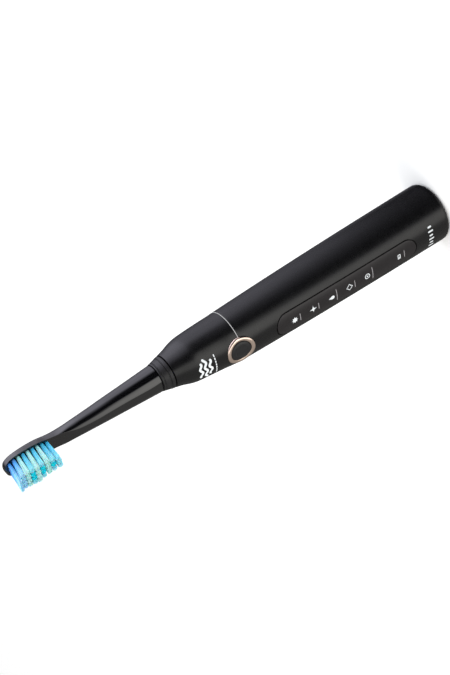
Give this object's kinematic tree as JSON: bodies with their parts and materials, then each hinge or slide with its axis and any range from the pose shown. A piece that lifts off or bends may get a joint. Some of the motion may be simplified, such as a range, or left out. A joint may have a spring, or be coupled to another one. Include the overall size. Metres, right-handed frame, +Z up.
{
  "type": "electric toothbrush",
  "caption": "Slim sonic toothbrush with a tapered round handle, one push button, an indicator panel and a pull-off brush head on an oscillating drive shaft.",
  "frame": {"origin": "centre of the flat base that the handle stands on", "axes": "+Z up the handle to the tip of the brush head, -Y the front with the button, the panel and the bristles, +X to the right seen from the front"},
  "size_m": [0.028, 0.028, 0.2299],
  "materials": {
    "satin_black": "satin soft-touch black",
    "gloss_black": "glossy black",
    "matt_black": "fine matt black",
    "panel_black": "satin dark grey window panel",
    "light_grey": "satin light grey",
    "rose_gold": "polished rose gold",
    "black_rubber": "matt",
    "clear_plastic": "milky clear",
    "grey_plastic": "moulded grey",
    "circuit_board": "green solder mask",
    "chip_black": "moulded epoxy",
    "steel": "machined",
    "copper": "enamelled copper wire",
    "magnet": "nickel plated",
    "cell_sleeve": "blue sleeve round a metal can",
    "bristle_blue": "nylon filament",
    "bristle_mint": "nylon filament",
    "bristle_cyan": "nylon filament"
  },
  "bodies": {
    "handle": {"barrel_shell": "satin_black", "shoulder_shell": "satin_black", "seam_band": "light_grey", "indicator_panel": "panel_black", "base_cap": "satin_black", "base_seal": "black_rubber", "button_bezel": "rose_gold", "tact_switch": "chip_black", "circuit_board": "circuit_board", "controller_chip": "chip_black", "light_guide": "clear_plastic", "board_screw_left": "steel", "board_screw_right": "steel", "battery_cell": "cell_sleeve", "battery_tab_low": "steel", "battery_tab_high": "steel", "coil_bobbin": "grey_plastic", "charging_coil": "copper", "coil_lead_left": "copper", "coil_lead_right": "copper", "chassis": "grey_plastic", "motor_can": "steel", "motor_rear_plate": "steel", "motor_front_plate": "steel", "rear_bearing": "steel", "front_bearing": "steel", "stator_pole_left": "steel", "stator_pole_right": "steel", "winding_left": "copper", "winding_right": "copper", "torsion_spring": "steel", "bulkhead": "grey_plastic", "shaft_bushing": "grey_plastic", "shaft_seal": "black_rubber", "indicator_led_1": "light_grey", "indicator_led_2": "light_grey", "indicator_led_3": "light_grey", "indicator_led_4": "light_grey", "indicator_led_5": "light_grey", "indicator_led_6": "light_grey"},
    "button": {"power_button": "matt_black", "switch_plunger": "grey_plastic"},
    "drive": {"drive_shaft": "steel", "rotor_core": "steel", "magnet_front": "magnet", "magnet_back": "magnet", "spring_hub": "steel"},
    "brush_head": {"head_ring": "matt_black", "brush_neck": "gloss_black", "drive_insert": "grey_plastic", "clip_sleeve": "steel", "bristle_row_1": "bristle_cyan", "bristle_row_2": "bristle_cyan", "bristle_row_3": "bristle_mint", "bristle_row_4": "bristle_cyan", "bristle_row_5": "bristle_mint", "bristle_row_6": "bristle_cyan", "bristle_row_7": "bristle_mint", "bristle_row_8": "bristle_blue", "bristle_row_9": "bristle_blue"}
  },
  "joints": [
    {"name": "power_press", "type": "slide", "parent": "handle", "child": "button", "axis": [0, 1, 0], "range_m": [0, 0.0005], "stiffness_N_per_m": 600},
    {"name": "head_oscillation", "type": "hinge", "parent": "handle", "child": "drive", "pos_m": [0, 0.0012, 0.1], "axis": [0, 0, 1], "range_deg": [-4.5, 4.5], "stiffness_Nm_per_rad": 0.05},
    {"name": "head_pull", "type": "slide", "parent": "drive", "child": "brush_head", "axis": [0, 0, 1], "range_m": [0, 0.03]}
  ]
}
